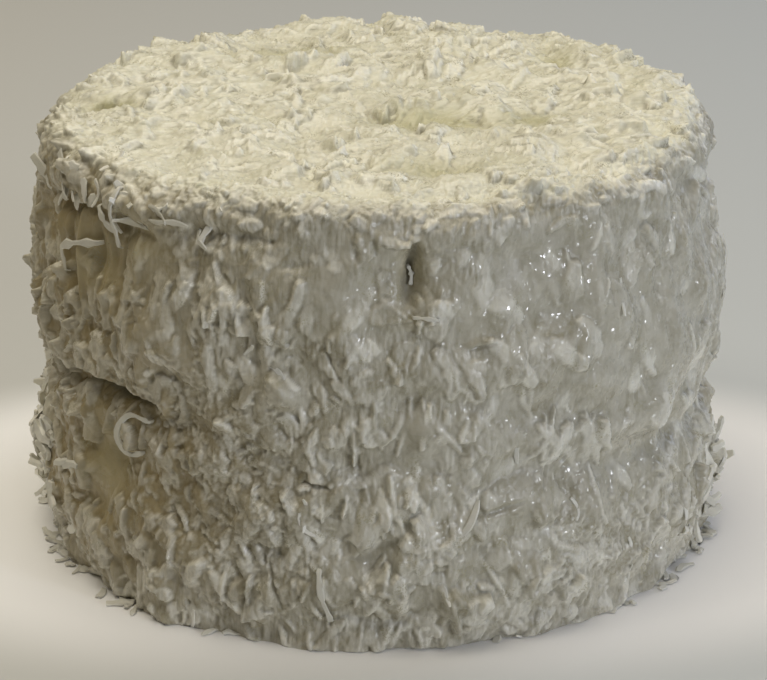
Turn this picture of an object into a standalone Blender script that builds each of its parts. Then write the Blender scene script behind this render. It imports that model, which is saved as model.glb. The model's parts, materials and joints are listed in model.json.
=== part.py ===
"""Tall round layer cake, iced all over and coated in shredded coconut.

One solid: an uncut iced cake whose coat of coconut follows two soft bulges, one for each stacked
half, with a waist between them. The largest shreds are fused on as thin curved strips.
Metres, +Z up. The origin is the centre of the flat foot, and the front faces -Y.
"""

import math
import random

import bmesh
import bpy
from mathutils import Vector, noise

# The cake over its coat of coconut, without the shreds that stand proud of it
WALL_RADIUS = 0.1095
CAKE_HEIGHT = 0.1460

# The top climbs a little towards the back. Its edge is rounded, and tighter at the back
TOP_SLOPE = 0.014
EDGE_ROUNDING = 0.013
BACK_EDGE = {"angle": 90, "spread": 80, "tighter": 0.004}

# The two stacked halves: middle height, half height, and how far each bulges past the wall radius
LOWER_BULGE = (0.026, 0.024, 0.0028)
UPPER_BULGE = (0.098, 0.027, 0.0030)

# The waist between the halves: where it lies, and how it climbs, sinks and deepens round the cake
WAIST_HEIGHT = 0.0590
WAIST_CLIMB = {"angle": -138, "spread": 26, "climb": 0.0120}
WAIST_FALL = {"angle": -5, "spread": 45, "fall": 0.0100}
WAIST_HALF_HEIGHT = 0.0055
WAIST_DEPTH = 0.0014
LEFT_WAIST = {"angle": -160, "spread": 36, "deeper": 0.0040}
RIGHT_WAIST = {"angle": -10, "spread": 34, "deeper": 0.0026}

# Uneven icing: how far it rises and falls, and the distance between rises
WALL_LUMPS = ((0.0030, 0.034), (0.0034, 0.014))
TOP_LUMPS = ((0.0026, 0.030), (0.0034, 0.013))

# Fuller places in the wall: (angle, height, half width, half height, rise)
WALL_SWELLS = {
    "right": (-5, 0.078, 0.110, 0.020, 0.0034),
    "left foot": (-175, 0.026, 0.070, 0.016, 0.0026),
    "right foot": (-2, 0.024, 0.070, 0.014, 0.0034),
    "upper left lip": (-142, 0.133, 0.030, 0.006, 0.0026),
}

# Bare scoops in the wall: (angle, height, half width, half height, depth)
WALL_SCOOPS = {
    "upper left": (-141, 0.113, 0.017, 0.014, 0.0042),
    "lower left": (-141, 0.044, 0.013, 0.017, 0.0042),
    "front slit": (-84.5, 0.122, 0.0035, 0.011, 0.0050),
    "front foot": (-84, 0.013, 0.016, 0.007, 0.0016),
    "right": (-58, 0.112, 0.022, 0.016, 0.0016),
    "back": (75, 0.100, 0.020, 0.016, 0.0020),
    "back foot": (128, 0.030, 0.016, 0.014, 0.0024),
}

# Hollows in the top: (x, y, half length along X, half length along Y, depth)
TOP_HOLLOWS = {
    "middle": (0.018, -0.025, 0.016, 0.009, 0.0050),
    "left": (-0.087, -0.006, 0.008, 0.007, 0.0040),
    "front": (0.020, -0.073, 0.016, 0.008, 0.0024),
    "right": (0.052, -0.020, 0.010, 0.007, 0.0030),
    "back right": (0.062, 0.050, 0.006, 0.010, 0.0030),
    "back left": (-0.030, 0.058, 0.018, 0.010, 0.0026),
}

# The grid of the iced body
SPANS_AROUND = 64
SPANS_UP_WALL = 14
SPANS_OVER_EDGE = 3
SPANS_ACROSS_TOP = 9

# The largest shreds. A pair holds the least and the most that a shred may have
SHRED_LENGTH = (0.014, 0.024)
SHRED_WIDTH = (0.0019, 0.0032)
SHRED_THICKNESS = 0.0012
SHRED_STATIONS = 4
SHRED_END_TAPER = 0.55
SHRED_BEND = 0.0034
SHRED_FREE_LIFT = (0.0012, 0.0034)
SHRED_ROOT_DEPTH = 0.0006

# How many lie in each place, and how they lie there
TOP_SHREDS = 48
EDGE_SHREDS = 20
EDGE_SLOPE = (0.1, 1.6)
EDGE_JITTER = (0.2, 0.8)
WALL_SHREDS = 86
WALL_HEIGHTS = (0.010, 0.129)
WALL_LEAN_DEGREES = 38
FOOT_SHREDS = 24
FOOT_JITTER = (0.15, 0.85)
FOOT_SLANT = 0.7
FOOT_REACH = (0.004, 0.008)
FOOT_SIDE_REACH = 0.005
FOOT_ROOT = (0.005, 0.008)
FOOT_RISE = 0.0025
FOOT_CLEARANCE = 0.0003

GOLDEN_ANGLE = math.pi * (3 - math.sqrt(5))
SEED = 7

COCONUT_COLOUR = (0.72, 0.66, 0.50, 1)
COCONUT_ROUGHNESS = 0.6


def bell(distance, half_width):
    """1 in the middle, falling smoothly to 0 on both sides."""
    return math.exp(-((distance / half_width) ** 2))


def turn_between(angle, other):
    """Degrees from one angle to another, the short way round."""
    return (angle - other + 180) % 360 - 180


def lumps(place, sizes):
    """Smooth uneven rises and falls, one size laid over another."""
    return sum(height * noise.noise(place / spacing) for height, spacing in sizes)


def near(angle, place):
    """1 at a place round the cake, which gives its angle and spread in degrees, and 0 far from it."""
    return bell(turn_between(angle, place["angle"]), place["spread"])


def waist_groove(angle, height):
    """How deep the waist cuts in at an angle and a height."""
    middle = WAIST_HEIGHT + WAIST_CLIMB["climb"] * near(angle, WAIST_CLIMB)
    middle -= WAIST_FALL["fall"] * near(angle, WAIST_FALL)
    deeper = sum(side["deeper"] * near(angle, side) for side in (LEFT_WAIST, RIGHT_WAIST))
    return (WAIST_DEPTH + deeper) * bell(height - middle, WAIST_HALF_HEIGHT)


def wall_relief(place):
    """How far the wall stands out from the plain cylinder at a place on it."""
    angle = math.degrees(math.atan2(place.y, place.x))
    out = lumps(place, WALL_LUMPS) - waist_groove(angle, place.z)
    for middle, half_height, rise in (LOWER_BULGE, UPPER_BULGE):
        out += rise * bell(place.z - middle, half_height)
    for forms, sign in ((WALL_SWELLS, 1), (WALL_SCOOPS, -1)):
        for form_angle, height, half_width, half_height, depth in forms.values():
            along = math.radians(turn_between(angle, form_angle)) * WALL_RADIUS
            out += sign * depth * bell(along, half_width) * bell(place.z - height, half_height)
    return out


def top_relief(place):
    """How far the top rises above its plain level at a place on it."""
    up = lumps(place, TOP_LUMPS) + TOP_SLOPE * place.y
    for x, y, half_x, half_y, depth in TOP_HOLLOWS.values():
        up -= depth * bell(place.x - x, half_x) * bell(place.y - y, half_y)
    return up


def edge_rounding(angle):
    """The radius of the rounded top edge at an angle, in radians."""
    return EDGE_ROUNDING - BACK_EDGE["tighter"] * near(math.degrees(angle), BACK_EDGE)


def plain_place(point):
    """The nearest place on a plain cylinder with a rounded top edge, and the direction outwards there."""
    reach = math.hypot(point.x, point.y)
    rounding = edge_rounding(math.atan2(point.y, point.x))
    core_reach = min(reach, WALL_RADIUS - rounding)
    core_height = min(max(point.z, 0), CAKE_HEIGHT - rounding)
    around = Vector((point.x, point.y, 0)) / max(reach, 1e-9)
    core = around * core_reach + Vector((0, 0, core_height))
    outward = around * (reach - core_reach) + Vector((0, 0, max(point.z, 0) - core_height))
    outward.normalize()
    return core + outward * rounding, outward


def on_coat(point, lift=0.0):
    """The place on the uneven coat above a point, and the outward direction there."""
    place, outward = plain_place(point)
    rise = wall_relief(place) * (1 - outward.z**2) + top_relief(place) * outward.z**2
    return place + outward * (rise + lift), outward


def profile_point(row, turn):
    """A point of the plain cake at a turn round it. The rows run up the wall and in over the top."""
    rounding = edge_rounding(turn)
    straight = CAKE_HEIGHT - rounding
    inner = WALL_RADIUS - rounding
    over_edge = math.pi / 2 * min(max((row - SPANS_UP_WALL) / SPANS_OVER_EDGE, 0), 1)
    across_top = max(row - SPANS_UP_WALL - SPANS_OVER_EDGE, 0) / SPANS_ACROSS_TOP
    reach = (inner + rounding * math.cos(over_edge)) if across_top == 0 else inner * (1 - across_top)
    height = straight * min(row / SPANS_UP_WALL, 1) + rounding * math.sin(over_edge)
    return Vector((reach * math.cos(turn), reach * math.sin(turn), height))


def iced_body(name):
    """The cake without its large shreds, as one closed mesh with a flat foot."""
    shape = bmesh.new()
    rings = []
    for row in range(SPANS_UP_WALL + SPANS_OVER_EDGE + SPANS_ACROSS_TOP):
        turns = [2 * math.pi * (i + 0.5 * (row % 2)) / SPANS_AROUND for i in range(SPANS_AROUND)]
        rings.append([shape.verts.new(on_coat(profile_point(row, turn))[0]) for turn in turns])
    for row, (lower, upper) in enumerate(zip(rings, rings[1:])):
        for i in range(SPANS_AROUND):
            after = (i + 1) % SPANS_AROUND
            if row % 2 == 0:
                shape.faces.new((lower[i], lower[after], upper[i]))
                shape.faces.new((lower[after], upper[after], upper[i]))
            else:
                shape.faces.new((lower[i], lower[after], upper[after]))
                shape.faces.new((lower[i], upper[after], upper[i]))
    middle = shape.verts.new(on_coat(Vector((0, 0, CAKE_HEIGHT)))[0])
    foot = shape.verts.new((0, 0, 0))
    for i in range(SPANS_AROUND):
        after = (i + 1) % SPANS_AROUND
        shape.faces.new((rings[-1][i], rings[-1][after], middle))
        shape.faces.new((rings[0][after], rings[0][i], foot))
    return mesh_object(name, shape)


def mesh_object(name, shape):
    mesh = bpy.data.meshes.new(name)
    bmesh.ops.recalc_face_normals(shape, faces=shape.faces)
    shape.to_mesh(mesh)
    shape.free()
    return bpy.data.objects.new(name, mesh)


def strip(shape, stations, width):
    """A thin strip through stations, each a place with its direction along the strip and outwards."""
    sections = []
    for i, (place, along, outward) in enumerate(stations):
        share = abs(2 * i / (len(stations) - 1) - 1)
        half_width = width / 2 * (1 - (1 - SHRED_END_TAPER) * share**2)
        across = along.cross(outward).normalized()
        corners = ((-1, -1), (1, -1), (1, 1), (-1, 1))
        sections.append(
            [
                shape.verts.new(place + across * half_width * u + outward * SHRED_THICKNESS / 2 * v)
                for u, v in corners
            ]
        )
    for first, second in zip(sections, sections[1:]):
        for i in range(4):
            after = (i + 1) % 4
            shape.faces.new((first[i], first[after], second[after], second[i]))
    shape.faces.new(sections[0][::-1])
    shape.faces.new(sections[-1])


def shred(name, anchor, heading, draw):
    """A shred that lies on the coat around an anchor point, with one end sunk and the other free."""
    length = draw.uniform(*SHRED_LENGTH)
    bend = draw.uniform(-SHRED_BEND, SHRED_BEND)
    free_lift = draw.uniform(*SHRED_FREE_LIFT)
    place, outward = plain_place(anchor)
    along = (heading - outward * heading.dot(outward)).normalized()
    across = along.cross(outward)
    places = []
    for i in range(SHRED_STATIONS):
        share = i / (SHRED_STATIONS - 1)
        reach = length * (share - 0.5)
        sideways = bend * (4 * share * (1 - share) - 0.5)
        lift = free_lift * share**2 - SHRED_ROOT_DEPTH * (1 - share) ** 2
        point = place + along * reach + across * sideways
        point.z = max(point.z, SHRED_THICKNESS)
        places.append(on_coat(point, lift))
    return strip_object(name, places, draw)


def strip_object(name, places, draw):
    """A strip through places on the coat, each with its outward direction, as an object."""
    stations = []
    for i, (place, outward) in enumerate(places):
        before = places[max(i - 1, 0)][0]
        after = places[min(i + 1, len(places) - 1)][0]
        along = (after - before).normalized()
        stations.append((place, along, (outward - along * outward.dot(along)).normalized()))
    shape = bmesh.new()
    strip(shape, stations, draw.uniform(*SHRED_WIDTH))
    return mesh_object(name, shape)


def top_shreds(draw):
    """Spread evenly over the top along a sunflower spiral, lying any way."""
    for i in range(TOP_SHREDS):
        reach = (WALL_RADIUS - EDGE_ROUNDING) * math.sqrt((i + 0.5) / TOP_SHREDS)
        turn = i * GOLDEN_ANGLE
        anchor = Vector((reach * math.cos(turn), reach * math.sin(turn), CAKE_HEIGHT))
        way = draw.uniform(0, 2 * math.pi)
        yield shred(f"top_shred_{i}", anchor, Vector((math.cos(way), math.sin(way), 0)), draw)


def edge_shreds(draw):
    """Round the top edge, most of them along it, some hanging over it."""
    for i in range(EDGE_SHREDS):
        turn = 2 * math.pi * (i + draw.uniform(*EDGE_JITTER)) / EDGE_SHREDS
        around = Vector((math.cos(turn), math.sin(turn), 0))
        cut_back = edge_rounding(turn) * (1 - math.sin(math.pi / 4))
        anchor = around * (WALL_RADIUS - cut_back) + Vector((0, 0, CAKE_HEIGHT - cut_back))
        level = Vector((-around.y, around.x, 0))
        heading = level + Vector((0, 0, draw.choice((-1, 1)))) * draw.uniform(*EDGE_SLOPE)
        yield shred(f"edge_shred_{i}", anchor, heading, draw)


def wall_shreds(draw):
    """Spread evenly over the wall along a spiral that climbs it, most of them upright."""
    lowest, highest = WALL_HEIGHTS
    for i in range(WALL_SHREDS):
        turn = i * GOLDEN_ANGLE
        height = lowest + (highest - lowest) * (i + 0.5) / WALL_SHREDS
        around = Vector((math.cos(turn), math.sin(turn), 0))
        anchor = around * WALL_RADIUS + Vector((0, 0, height))
        lean = math.radians(draw.gauss(0, WALL_LEAN_DEGREES))
        level = Vector((-around.y, around.x, 0))
        heading = Vector((0, 0, draw.choice((-1, 1)))) * math.cos(lean) + level * math.sin(lean)
        yield shred(f"wall_shred_{i}", anchor, heading, draw)


def foot_shreds(draw):
    """Lying round the foot, each rooted in the wall and pointing outwards, longest left and right."""
    for i in range(FOOT_SHREDS):
        turn = 2 * math.pi * (i + draw.uniform(*FOOT_JITTER)) / FOOT_SHREDS
        around = Vector((math.cos(turn), math.sin(turn), 0))
        level = Vector((-around.y, around.x, 0))
        heading = (around + level * draw.uniform(-FOOT_SLANT, FOOT_SLANT)).normalized()
        height = FOOT_CLEARANCE + SHRED_THICKNESS / 2
        wall, _ = on_coat(around * WALL_RADIUS + Vector((0, 0, height)))
        reach = draw.uniform(*FOOT_REACH) + FOOT_SIDE_REACH * around.x**2
        rooted = draw.uniform(*FOOT_ROOT)
        rise = draw.uniform(0, FOOT_RISE)
        places = []
        for j in range(SHRED_STATIONS):
            share = j / (SHRED_STATIONS - 1)
            along = (reach + rooted) * share - rooted
            point = Vector((wall.x, wall.y, height)) + heading * along
            point.z += rise * (1 - share) ** 2
            places.append((point, Vector((0, 0, 1))))
        yield strip_object(f"foot_shred_{i}", places, draw)


def fuse(body, pieces):
    """Joins the pieces to the body with one Boolean union."""
    loose = bpy.data.collections.new("loose_shreds")
    bpy.context.scene.collection.children.link(loose)
    for piece in pieces:
        loose.objects.link(piece)
    union = body.modifiers.new("fuse_shreds", "BOOLEAN")
    union.operation = "UNION"
    union.operand_type = "COLLECTION"
    union.collection = loose
    union.solver = "MANIFOLD"
    graph = bpy.context.evaluated_depsgraph_get()
    fused = bpy.data.meshes.new_from_object(body.evaluated_get(graph))
    body.modifiers.clear()
    body.data = fused
    for piece in list(loose.objects):
        bpy.data.objects.remove(piece)
    bpy.data.collections.remove(loose)


def keep_largest_shell(body):
    """Drops any shred that missed the coat, and fills any hollow that fusing sealed."""
    shape = bmesh.new()
    shape.from_mesh(body.data)
    waiting = set(shape.verts)
    shells = []
    while waiting:
        shell = set()
        edge_of_shell = [waiting.pop()]
        while edge_of_shell:
            vertex = edge_of_shell.pop()
            shell.add(vertex)
            for edge in vertex.link_edges:
                other = edge.other_vert(vertex)
                if other in waiting:
                    waiting.discard(other)
                    edge_of_shell.append(other)
        shells.append(shell)
    shells.sort(key=len)
    for shell in shells[:-1]:
        bmesh.ops.delete(shape, geom=list(shell), context="VERTS")
    shape.to_mesh(body.data)
    shape.free()


def coconut_material():
    material = bpy.data.materials.new("coconut_coat")
    material.use_nodes = True
    surface = material.node_tree.nodes["Principled BSDF"]
    surface.inputs["Base Color"].default_value = COCONUT_COLOUR
    surface.inputs["Roughness"].default_value = COCONUT_ROUGHNESS
    surface.inputs["Metallic"].default_value = 0
    return material


def clear_scene():
    for thing in list(bpy.data.objects):
        bpy.data.objects.remove(thing)


def main():
    clear_scene()
    draw = random.Random(SEED)
    cake = iced_body("frosted_cake")
    bpy.context.scene.collection.objects.link(cake)
    shreds = [*top_shreds(draw), *edge_shreds(draw), *wall_shreds(draw), *foot_shreds(draw)]
    fuse(cake, shreds)
    keep_largest_shell(cake)
    cake.data.materials.clear()
    cake.data.materials.append(coconut_material())


main()
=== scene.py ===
import json
import math
import random

import bmesh
import bpy
import numpy as np
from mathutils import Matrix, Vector, noise

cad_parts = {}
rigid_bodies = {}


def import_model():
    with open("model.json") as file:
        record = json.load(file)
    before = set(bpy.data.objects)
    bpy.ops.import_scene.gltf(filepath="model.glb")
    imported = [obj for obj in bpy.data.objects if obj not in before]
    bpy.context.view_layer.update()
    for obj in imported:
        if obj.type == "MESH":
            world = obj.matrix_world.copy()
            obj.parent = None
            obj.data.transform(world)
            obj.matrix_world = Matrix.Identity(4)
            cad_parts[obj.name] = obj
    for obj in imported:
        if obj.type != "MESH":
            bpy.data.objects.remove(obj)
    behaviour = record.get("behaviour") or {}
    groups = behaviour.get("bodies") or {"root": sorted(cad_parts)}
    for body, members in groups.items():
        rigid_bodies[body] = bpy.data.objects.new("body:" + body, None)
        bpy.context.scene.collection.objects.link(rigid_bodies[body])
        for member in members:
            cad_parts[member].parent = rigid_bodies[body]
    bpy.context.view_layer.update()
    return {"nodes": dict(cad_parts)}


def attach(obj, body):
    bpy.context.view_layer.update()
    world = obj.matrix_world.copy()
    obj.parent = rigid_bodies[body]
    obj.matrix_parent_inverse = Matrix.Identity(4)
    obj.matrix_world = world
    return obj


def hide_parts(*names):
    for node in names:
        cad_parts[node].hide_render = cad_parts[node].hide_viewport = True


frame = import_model()
print("frame: loaded", ", ".join(frame["nodes"]))


# Small helpers for nodes, colours and finished meshes

def fromHex(colour):
    # an sRGB hex value as the linear colour that nodes and lights take
    parts = [int(colour[i:i + 2], 16) / 255 for i in (1, 3, 5)]
    return [c / 12.92 if c <= 0.04045 else ((c + 0.055) / 1.055) ** 2.4 for c in parts] + [1.0]


def setInputs(tree, node, links):
    # each input, by name or number, takes a value, a node or one of a node's outputs
    for key, value in links.items():
        if isinstance(key, str):
            socket = next(s for s in node.inputs if s.name == key and s.enabled)
        else:
            socket = node.inputs[key]
        if isinstance(value, bpy.types.Node):
            value = next(s for s in value.outputs if s.enabled)
        if isinstance(value, bpy.types.NodeSocket):
            tree.links.new(value, socket)
        else:
            socket.default_value = value


def addNode(tree, kind, links=None, **settings):
    node = tree.nodes.new(kind)
    for name, value in settings.items():
        setattr(node, name, value)
    setInputs(tree, node, links or {})
    return node


def newTree(name, inputs):
    # a Geometry Nodes tree with these kinds of inputs and their names, beside its geometry and its finish
    tree = bpy.data.node_groups.new(name, "GeometryNodeTree")
    tree.interface.new_socket("Geometry", in_out="INPUT", socket_type="NodeSocketGeometry")
    tree.interface.new_socket("Geometry", in_out="OUTPUT", socket_type="NodeSocketGeometry")
    for kind, labels in inputs.items():
        for label in labels:
            tree.interface.new_socket(label, in_out="INPUT", socket_type="NodeSocket" + kind)
    tree.interface.new_socket("Finish", in_out="INPUT", socket_type="NodeSocketMaterial")
    return tree, tree.nodes.new("NodeGroupInput").outputs


def endTree(tree, geometry, finish):
    # every tree ends with its instances made real and its finish set
    real = addNode(tree, "GeometryNodeRealizeInstances", {"Geometry": geometry})
    done = addNode(tree, "GeometryNodeSetMaterial", {"Geometry": real, "Material": finish})
    addNode(tree, "NodeGroupOutput", {0: done})
    return tree


def runTree(name, mesh, tree, values):
    # runs a tree on a mesh and returns what it makes as a plain mesh
    carrier = bpy.data.objects.new(name + "Carrier", mesh)
    bpy.context.scene.collection.objects.link(carrier)
    modifier = carrier.modifiers.new(name, "NODES")
    modifier.node_group = tree
    sockets = {item.name: item for item in tree.interface.items_tree if item.in_out == "INPUT"}
    for label, value in values.items():
        socket = sockets[label].identifier
        if isinstance(value, str) and sockets[label].socket_type == "NodeSocketFloat":
            modifier[socket + "_use_attribute"] = True  # the value is read from an attribute of the mesh
            modifier[socket + "_attribute_name"] = value
        else:
            modifier[socket] = value
    graph = bpy.context.evaluated_depsgraph_get()
    made = bpy.data.meshes.new_from_object(carrier.evaluated_get(graph))
    bpy.data.objects.remove(carrier)
    made.name = name
    return made


def placeObject(name, mesh):
    thing = bpy.data.objects.new(name, mesh)
    bpy.context.scene.collection.objects.link(thing)
    return thing


def finishPiece(name, mesh):
    # a finished piece of the coat, which stands in for the plain solid
    piece = placeObject(name, mesh)
    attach(piece, "root")
    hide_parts("frosted_cake")
    mesh.calc_loop_triangles()
    print(f"{name}: {len(mesh.loop_triangles)} triangles")


# The cake's surface, in metres and degrees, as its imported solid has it

cakeForm = {
    "wallRadius": 0.1095,
    "height": 0.1460,
    "topSlope": 0.014,
    "edgeRounding": 0.013,
    "backEdge": {"angle": 90, "spread": 80, "tighter": 0.004},
    "bulges": ((0.026, 0.024, 0.0028), (0.098, 0.027, 0.0030)),  # middle, half height, rise
    "waistHeight": 0.0590,
    "waistClimb": {"angle": -138, "spread": 26, "climb": 0.0120},
    "waistFall": {"angle": -5, "spread": 45, "fall": 0.0100},
    "waistHalfHeight": 0.0055,
    "waistDepth": 0.0014,
    "deeperWaists": ({"angle": -160, "spread": 36, "deeper": 0.0040},
                     {"angle": -10, "spread": 34, "deeper": 0.0026}),
    "wallLumps": ((0.0030, 0.034), (0.0034, 0.014)),  # rise, distance between rises
    "topLumps": ((0.0026, 0.030), (0.0034, 0.013)),
    "wallForms": (  # angle, height, half width, half height, rise, or depth below 0
        (-5, 0.078, 0.110, 0.020, 0.0034),
        (-175, 0.026, 0.070, 0.016, 0.0026),
        (-2, 0.024, 0.070, 0.014, 0.0034),
        (-142, 0.133, 0.030, 0.006, 0.0026),
        (-141, 0.113, 0.017, 0.014, -0.0042),
        (-141, 0.044, 0.013, 0.017, -0.0042),
        (-84.5, 0.122, 0.0035, 0.011, -0.0050),
        (-84, 0.013, 0.016, 0.007, -0.0016),
        (-58, 0.112, 0.022, 0.016, -0.0016),
        (75, 0.100, 0.020, 0.016, -0.0020),
        (128, 0.030, 0.016, 0.014, -0.0024),
    ),
    "topHollows": (  # x, y, half lengths along X and Y, depth
        (0.018, -0.025, 0.016, 0.009, 0.0050),
        (-0.087, -0.006, 0.008, 0.007, 0.0040),
        (0.020, -0.073, 0.016, 0.008, 0.0024),
        (0.052, -0.020, 0.010, 0.007, 0.0030),
        (0.062, 0.050, 0.006, 0.010, 0.0030),
        (-0.030, 0.058, 0.018, 0.010, 0.0026),
    ),
}


def bell(distance, halfWidth):
    return np.exp(-((distance / halfWidth) ** 2))


def turnBetween(angle, other):
    return (angle - other + 180) % 360 - 180


def near(angle, place):
    return bell(turnBetween(angle, place["angle"]), place["spread"])


def angleOf(places):
    return np.degrees(np.arctan2(places[:, 1], places[:, 0]))


def alongWall(angle, other):
    return np.radians(turnBetween(angle, other)) * cakeForm["wallRadius"]


def lumps(places, sizes):
    return sum(
        rise * np.array([noise.noise(place) for place in (places / spacing).tolist()])
        for rise, spacing in sizes
    )


def waistGroove(angle, height):
    form = cakeForm
    middle = form["waistHeight"] + form["waistClimb"]["climb"] * near(angle, form["waistClimb"])
    middle = middle - form["waistFall"]["fall"] * near(angle, form["waistFall"])
    depth = form["waistDepth"] + sum(side["deeper"] * near(angle, side) for side in form["deeperWaists"])
    return depth * bell(height - middle, form["waistHalfHeight"])


def wallRelief(places):
    angle, height = angleOf(places), places[:, 2]
    out = lumps(places, cakeForm["wallLumps"]) - waistGroove(angle, height)
    for middle, halfHeight, rise in cakeForm["bulges"]:
        out += rise * bell(height - middle, halfHeight)
    for formAngle, middle, halfWidth, halfHeight, rise in cakeForm["wallForms"]:
        out += rise * bell(alongWall(angle, formAngle), halfWidth) * bell(height - middle, halfHeight)
    return out


def hollowShare(places):
    # how deep each place lies in the hollows of the top, in metres
    return sum(
        depth * bell(places[:, 0] - x, halfX) * bell(places[:, 1] - y, halfY)
        for x, y, halfX, halfY, depth in cakeForm["topHollows"]
    )


def topRelief(places):
    return lumps(places, cakeForm["topLumps"]) + cakeForm["topSlope"] * places[:, 1] - hollowShare(places)


def edgeRounding(angle):
    return cakeForm["edgeRounding"] - cakeForm["backEdge"]["tighter"] * near(angle, cakeForm["backEdge"])


def plainPlaces(points):
    # the nearest places on a plain cylinder with a rounded top edge, and the directions outwards there
    rounding = edgeRounding(angleOf(points))
    reach = np.hypot(points[:, 0], points[:, 1])
    coreReach = np.minimum(reach, cakeForm["wallRadius"] - rounding)
    above = np.maximum(points[:, 2], 0)
    coreHeight = np.minimum(above, cakeForm["height"] - rounding)
    around = points[:, :2] / np.maximum(reach, 1e-9)[:, None]
    core = np.column_stack([around * coreReach[:, None], coreHeight])
    outward = np.column_stack([around * (reach - coreReach)[:, None], above - coreHeight])
    outward /= np.maximum(np.linalg.norm(outward, axis=1), 1e-12)[:, None]
    return core + outward * rounding[:, None], outward


def onCoat(points, lift=0.0):
    # the places on the uneven coat above these points, with the plain places and the directions outwards
    plain, outward = plainPlaces(points)
    flat = outward[:, 2] ** 2
    rise = wallRelief(plain) * (1 - flat) + topRelief(plain) * flat + lift
    return plain + outward * rise[:, None], plain, outward


# Where the coat changes along the wall: angle, height, half width, half height, strength.
# Bare patches show smooth icing, matted ones are thick with fine gratings, slick ones are wet, and buttery
# ones are darker and browner between the sunken pieces: partly a thin coat that the yellower icing shows
# through, partly painted shade, most of all on the left. The relief is lower where it is calm. Flakes
# hang over the edge and fringe the foot in places.

coatPatches = {
    "bare": (
        (-143, 0.114, 0.018, 0.013, 0.7),
        (-141, 0.045, 0.011, 0.014, 1.0),
        (-84.5, 0.122, 0.004, 0.011, 0.6),
        (-130, 0.126, 0.010, 0.010, 0.7),
        (75, 0.100, 0.020, 0.014, 0.9),
        (128, 0.030, 0.014, 0.012, 0.9),
        (10, 0.112, 0.014, 0.012, 0.7),
        (172, 0.105, 0.014, 0.014, 0.7),
    ),
    "matted": (
        (-118, 0.070, 0.030, 0.018, 1.0),
        (-113, 0.040, 0.030, 0.018, 1.0),
        (-52, 0.024, 0.026, 0.016, 1.0),
        (-10, 0.060, 0.022, 0.030, 0.6),
        (45, 0.040, 0.026, 0.018, 1.0),
        (100, 0.075, 0.026, 0.020, 1.0),
        (160, 0.050, 0.022, 0.020, 0.8),
        (-172, 0.030, 0.022, 0.018, 1.0),
    ),
    "calm": (
        (-30, 0.085, 0.070, 0.050, 1.0),
        (-62, 0.105, 0.030, 0.030, 0.7),
        (70, 0.090, 0.050, 0.040, 0.8),
    ),
    "hanging": (
        (-142, 0.1366, 0.056, 0.0045, 1.0),
        (-30, 0.1370, 0.050, 0.006, 0.2),
        (60, 0.1370, 0.070, 0.006, 0.6),
        (140, 0.1370, 0.060, 0.007, 0.8),
    ),
    "eave": (
        (-146, 0.1340, 0.032, 0.004, 1.0),
        (-118, 0.1340, 0.016, 0.004, 0.5),
        (150, 0.1340, 0.040, 0.004, 0.6),
    ),
    "fringe": (
        (-176, 0.026, 0.034, 0.022, 1.0),
        (-8, 0.016, 0.026, 0.014, 1.0),
        (100, 0.014, 0.040, 0.012, 0.8),
        (30, 0.012, 0.030, 0.010, 0.5),
        (150, 0.016, 0.030, 0.012, 0.7),
    ),
    "buttery": (
        (-150, 0.108, 0.050, 0.042, 1.0),
        (-152, 0.036, 0.060, 0.034, 1.0),
        (-124, 0.056, 0.030, 0.026, 0.5),
        (60, 0.110, 0.040, 0.030, 0.7),
        (118, 0.036, 0.044, 0.030, 0.8),
        (8, 0.036, 0.030, 0.024, 0.5),
    ),
    "slick": (
        (-38, 0.085, 0.040, 0.036, 0.8),
        (-20, 0.110, 0.030, 0.026, 0.7),
        (-44, 0.055, 0.030, 0.014, 0.6),
        (-61, 0.124, 0.022, 0.010, 1.0),
        (-53, 0.100, 0.018, 0.014, 1.0),
        (-72, 0.104, 0.018, 0.020, 0.9),
        (-83, 0.068, 0.014, 0.014, 1.0),
        (-94, 0.118, 0.018, 0.016, 0.9),
        (-68, 0.050, 0.016, 0.014, 0.8),
        (-93, 0.034, 0.010, 0.016, 0.9),
        (-66, 0.076, 0.012, 0.008, 0.9),
        (-52, 0.044, 0.010, 0.007, 0.9),
        (-72, 0.028, 0.012, 0.006, 0.9),
        (-84, 0.016, 0.010, 0.006, 0.8),
        (-126, 0.094, 0.016, 0.016, 0.7),
        (-106, 0.086, 0.010, 0.012, 0.6),
        (20, 0.090, 0.020, 0.016, 0.8),
        (140, 0.110, 0.022, 0.014, 0.8),
    ),
}


# Single marks along lines on the wall: angle and height of both ends, half width, rise or depth below 0.
# Creases dent the wall, keep the shreds off and are darkened with painted shade, recesses only dent the
# wall, ridges stand up.

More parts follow.
